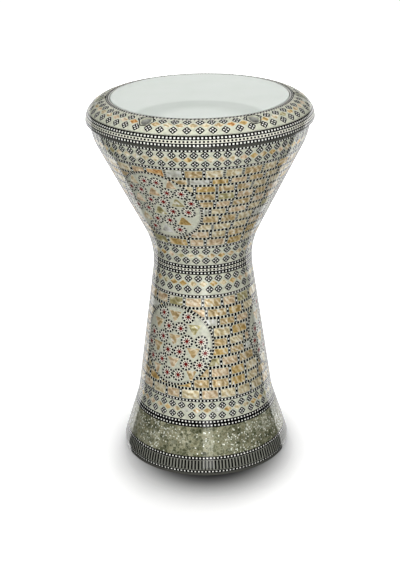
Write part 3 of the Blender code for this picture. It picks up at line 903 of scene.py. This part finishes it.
BEARING_OUT, BEARING_IN, BEARING_Z, FLANGE_Z, UNDER_Z = 106.1, 101.5, 459.2, 432.0, 426.0
SEAT = 2.15
shell_line = (
    [(104.6, 0.0)] + [(float(np.interp(z, SHELL.z, SHELL.r)), z) for z in (0.5, 1.2, 2.2, 3.2, 4.2)]
    + along(SHELL, up(4.2) + 0.02, up(430.2) - 0.02, 90, SEAT)
    + [(float(np.interp(430.2, SHELL.z, SHELL.r)), 430.2), (133.5, 431.6), (133.1, FLANGE_Z)]
    + [(p.x, p.y) for p in rounded([(BEARING_OUT, FLANGE_Z, 0), (BEARING_OUT, BEARING_Z, 2.2),
                                    (BEARING_IN, BEARING_Z, 2.2), (BEARING_IN, UNDER_Z, 0)], 6)]
    + along(SHELL, up(UNDER_Z - 1.0), up(4.2), 60, 6.3) + [(98.8, 0.0)])
shell = turn("shell_casting", shell_line, CAST)
combine(shell, rods(6.0, 416.5, UNDER_Z + 0.6), "UNION")
combine(shell, rods(3.3, 418.5, FLANGE_Z + 0.6), "DIFFERENCE")
smooth(shell)
# Painted shade on the flange in the seam under the ring, and the foot's bottom edge painted dark
paint_seam_shade(shell, lambda r, z: r > 0.130 and z > 0.4301 or z < 0.0044)
stand_in(shell, "shell", "drum")

edge_t, lip_t = math.asin(0.4 / DOME_H), math.acos(1.8 / (RING_R - LIP_R))


def dome(t, depth=0.0):
    return (LIP_R + (RING_R - LIP_R - depth) * math.cos(t), DOME_Z + (DOME_H - depth) * math.sin(t))


CAVITY_R, RING_Z, CONTACT_R, CONTACT_Z, SHOULDER_Z, TAIL_Z = 115.5, 433.2, 110.6, 450.3, 457.4, 449.7
ring_line = (
    [(CAVITY_R, RING_Z), (RING_R - 0.5, RING_Z), (RING_R, RING_Z + 0.4), dome(edge_t)]
    + [dome(edge_t + (lip_t - edge_t) * k / 40, SEAT) for k in range(41)]
    + [dome(lip_t), (LIP_R + 0.4, DOME_Z + DOME_H), (LIP_R, DOME_Z + DOME_H - 0.4), (LIP_R, SHOULDER_Z),
       (CONTACT_R, TAIL_Z + 2.5), (CONTACT_R, CONTACT_Z), (CAVITY_R, CONTACT_Z)])
ring = turn("ring_casting", ring_line, CAST)
combine(ring, rods(POCKET_R, 445.2, 461.0, 40), "DIFFERENCE")
combine(ring, rods(3.3, 432.0, 446.0), "DIFFERENCE")
smooth(ring)
# Painted shade on the ring's lower edge, in the seam over the shell
paint_seam_shade(ring, lambda r, z: r > 0.130 and z < 0.4346)
stand_in(ring, "tuning_ring", "ring")

FILM_R, FILM_Z, TAIL_R = 106.8, 459.9, 109.8


def film_line(depth):
    """Outline from the film's middle to the end of its tail, at a depth under the outer face."""
    line = [(p.x, p.y) for p in rounded([
        (0.4, FILM_Z - depth, 0), (FILM_R - depth, FILM_Z - depth, 2.5 - depth), (FILM_R - depth, 457.4, 0),
        (TAIL_R - depth, TAIL_Z, 0), (TAIL_R - depth, 444.2, 0)], 8)]
    return [line[0]] + [(r, FILM_Z - depth) for r in (15.0, 40.0, 65.0, 90.0)] + line[1:]


film = turn("moulded_head", film_line(0.0) + film_line(0.4)[::-1], FILM)
# The tiny hole that turning leaves in the middle is closed on both faces
pick(film)
select_faces(film, lambda f: all(v.co.xy.length < 0.001 for v in f.verts))
bpy.ops.mesh.delete(type="FACE")
select_open_edges(wire=False)
bpy.ops.mesh.edge_face_add()
bpy.ops.object.mode_set(mode="OBJECT")
smooth(film)
stand_in(film, "head_film", "drum")

HOOP_Z, HOOP_IN, HOOP_OUT, HOOP_TOP = 440.9, 106.5, 114.5, 450.0
hoop = turn("head_channel", [
    (HOOP_IN + 0.3, HOOP_Z), (HOOP_OUT - 0.3, HOOP_Z), (HOOP_OUT, HOOP_Z + 0.3), (HOOP_OUT, HOOP_TOP - 0.3),
    (HOOP_OUT - 0.3, HOOP_TOP), (HOOP_OUT - 0.9, HOOP_TOP), (HOOP_OUT - 1.2, HOOP_TOP - 0.3),
    (HOOP_OUT - 1.2, HOOP_Z + 1.2), (HOOP_IN + 1.2, HOOP_Z + 1.2), (HOOP_IN + 1.2, HOOP_TOP - 0.3),
    (HOOP_IN + 0.9, HOOP_TOP), (HOOP_IN + 0.3, HOOP_TOP), (HOOP_IN, HOOP_TOP - 0.3), (HOOP_IN, HOOP_Z + 0.3)], HOOP)
stand_in(hoop, "head_hoop", "drum")
BEAD_Z = HOOP_Z + 1.5
bead = turn("resin_bead", [
    (HOOP_IN + 1.5, BEAD_Z), (HOOP_OUT - 1.5, BEAD_Z), (HOOP_OUT - 1.5, BEAD_Z + 6.1), (HOOP_OUT - 2.0, BEAD_Z + 6.5),
    (TAIL_R + 0.6, BEAD_Z + 6.3), (TAIL_R + 0.3, BEAD_Z + 6.0), (TAIL_R + 0.3, BEAD_Z + 1.5),
    (TAIL_R - 0.7, BEAD_Z + 1.5), (TAIL_R - 0.7, BEAD_Z + 6.0), (TAIL_R - 1.0, BEAD_Z + 6.4),
    (HOOP_IN + 1.5, BEAD_Z + 6.2)], BEAD)
stand_in(bead, "hoop_resin", "drum")

# One socket screw, copied to the six places
TIP_Z, HEAD_Z, HEAD_TOP, KEY_R = 420.5, 445.5, 451.5, 2.89
deselect()
bpy.ops.mesh.primitive_cylinder_add(vertices=36, radius=5.0 * MM, depth=6.0 * MM, location=(0, 0, 448.5 * MM))
screw = bpy.context.object
bpy.ops.object.transform_apply(location=True)
select_faces(screw, lambda f: f.normal.z < -0.9)
bpy.ops.mesh.inset(thickness=2.0 * MM, depth=0)
bpy.ops.mesh.extrude_region_move(TRANSFORM_OT_translate={"value": (0, 0, (TIP_Z + 0.6 - HEAD_Z) * MM)})
bpy.ops.mesh.extrude_region_move(TRANSFORM_OT_translate={"value": (0, 0, -0.6 * MM)})
bpy.ops.transform.resize(value=(0.8, 0.8, 1), center_override=(0, 0, TIP_Z * MM))
bpy.ops.object.mode_set(mode="OBJECT")
bpy.ops.mesh.primitive_cylinder_add(vertices=6, radius=KEY_R * MM, depth=4.0 * MM,
                                    location=(0, 0, (HEAD_TOP - 1.0) * MM))
key = bpy.context.object
bpy.ops.object.transform_apply(location=True)
combine(screw, key, "DIFFERENCE")
edges = screw.modifiers.new("Bevel", "BEVEL")
edges.width = 0.35 * MM
edges.segments = 2
edges.angle_limit = math.radians(50)
bpy.ops.object.modifier_apply(modifier=edges.name)
screw.data.materials.append(STEEL)
smooth(screw, 40)
for k, a in enumerate(SCREW_TURNS):
    piece = screw if a == SCREW_TURNS[-1] else screw.copy()
    if piece is not screw:
        piece.data = screw.data.copy()
        bpy.context.scene.collection.objects.link(piece)
    piece.name = f"socket_screw_{k + 1}"
    piece.location = spot_on(SCREW_R, a)
    pick(piece)
    bpy.ops.object.transform_apply(location=True)
    stand_in(piece, f"tension_screw_{k + 1}", f"screw_{k + 1}")


# ---------------------------------------------------------------- studio
def floor_paint():
    """White sweep that glows a little, more so away from the drum, with painted contact shadow towards its foot."""
    material, tree, shader = new_finish("studio_floor_paint", Roughness=0.7, Specular_IOR_Level=0.0,
                                        Emission_Color=WHITE)
    here = node(tree, "ShaderNodeTexCoord").outputs["Object"]
    ahead = node(tree, "ShaderNodeMapping", Vector=here, Location=(-0.004, 0.03, 0), Scale=(1.27, 1.05, 1))

    def by_distance(vector, reach, *stops):
        """Grey by distance, both in metres, within a reach."""
        away = node(tree, "ShaderNodeVectorMath", operation="LENGTH", _0=vector)
        share = node(tree, "ShaderNodeMath", operation="DIVIDE", _0=away.outputs["Value"], _1=reach)
        return colour_ramp(tree, share.outputs["Value"], *[(place / reach, level) for place, level in stops])

    glow = by_distance(here, 3.0, (0.1, 0.34), (2.4, 0.95), (0.19, 0.46), (0.5, 0.62), (1.1, 0.80))
    # Painted contact shadow round the foot, centred a little towards the front
    shade = by_distance(ahead.outputs["Vector"], 0.2, (0.075, 0.03), (0.17, 1.0), (0.085, 0.10), (0.095, 0.22),
                        (0.105, 0.38), (0.116, 0.55), (0.127, 0.70), (0.145, 0.88))
    settle(tree, shader, Base_Color=mix(tree, shade, (0.86, 0.86, 0.86, 1), "MULTIPLY"),
           Emission_Strength=mix(tree, shade, glow, "MULTIPLY"))
    return material


def staged(name, look, unseen_by):
    """Names the active object, gives it its look and hides it from some kinds of ray."""
    thing = bpy.context.object
    thing.name = name
    thing.data.materials.append(look)
    for ray in unseen_by:
        setattr(thing, "visible_" + ray, False)


deselect()
bpy.ops.mesh.primitive_plane_add(size=14.0, location=(0, 0, 0))
staged("studio_floor", floor_paint(), ("diffuse", "glossy"))

# White card behind the drum, brighter towards its ends, seen only in the lacquer's reflections
deselect()
bpy.ops.mesh.primitive_plane_add(size=1.0, location=(0.3, 1.2, -0.2), rotation=(math.pi / 2, 0, 0))
bpy.context.object.scale = (3.4, 1.5, 1.0)
bpy.ops.object.transform_apply(location=True, rotation=True, scale=True)
card_light, tree, shader = new_finish("back_card_light", Base_Color=BLACK, Emission_Color=WHITE)
across = node(tree, "ShaderNodeSeparateXYZ", Vector=node(tree, "ShaderNodeTexCoord").outputs["Object"])
outwards = node(tree, "ShaderNodeMath", operation="ABSOLUTE", _0=across.outputs["X"])
strength = node(tree, "ShaderNodeMath", operation="MULTIPLY_ADD", _0=outwards.outputs["Value"], _1=1.3, _2=0.3)
settle(tree, shader, Emission_Strength=strength.outputs["Value"])
staged("back_card", card_light, ("camera", "diffuse", "shadow"))

# White surround far behind everything, seen only by the camera
deselect()
bpy.ops.mesh.primitive_uv_sphere_add(radius=20.0, segments=32, ring_count=16)
haze = new_finish("white_surround_light", Base_Color=BLACK, Emission_Color=WHITE, Emission_Strength=1.2)[0]
staged("white_surround", haze, ("diffuse", "glossy", "transmission", "shadow"))

world = bpy.data.worlds.new("studio_air")
bpy.context.scene.world = world
world.use_nodes = True
air = world.node_tree.nodes["Background"]
air.inputs["Color"].default_value, air.inputs["Strength"].default_value = WHITE, 0.12


def softbox(name, place, aim, size, power):
    light = bpy.data.lights.new(name, "AREA")
    light.shape = "RECTANGLE"
    light.size, light.size_y = size
    light.energy = power
    lamp = bpy.data.objects.new(name, light)
    lamp.location = place
    lamp.rotation_euler = (Vector(aim) - Vector(place)).to_track_quat("-Z", "Y").to_euler()
    lamp.visible_camera = False
    bpy.context.scene.collection.objects.link(lamp)
    return lamp


softbox("front_softbox", (0.0, -1.75, 0.46), (0, 0, 0.25), (2.0, 1.5), 35).visible_glossy = False
softbox("front_glint", (0.05, -1.6, 0.10), (0, 0, 0.08), (0.42, 0.42), 2.6).visible_diffuse = False
softbox("top_softbox", (0.05, 0.2, 1.9), (0, 0, 0.2), (1.3, 1.3), 18.5).visible_glossy = False
softbox("back_softbox", (0.2, 1.9, 0.75), (0, 0, 0.25), (1.2, 1.0), 27).visible_glossy = False

# Camera from the fit to the photograph, whose longer side is 570 pixels
ELEVATION, ROLL, DISTANCE = math.radians(22.05), math.radians(1.15), 1.673
TARGET = Vector((0, 0, 0.2165))
TALL_PX, LENS_PX, SENSOR = 570, 1326, 36.0
lens = bpy.data.cameras.new("photo_camera")
camera = bpy.data.objects.new("photo_camera", lens)
bpy.context.scene.collection.objects.link(camera)
back = Vector((0, -math.cos(ELEVATION), math.sin(ELEVATION)))
camera.location = TARGET + back * DISTANCE
turned = (-back).to_track_quat("-Z", "Y").to_matrix() @ Matrix.Rotation(-ROLL, 3, "Z")
camera.rotation_euler = turned.to_euler()
lens.sensor_width = SENSOR
lens.lens = LENS_PX / TALL_PX * SENSOR
lens.shift_x, lens.shift_y = -3.4 / TALL_PX, -1.5 / TALL_PX
lens.clip_start, lens.clip_end = 0.05, 60
bpy.context.scene.camera = camera
bpy.context.scene.view_settings.view_transform = "Standard"
bpy.context.scene.view_settings.gamma = 0.8
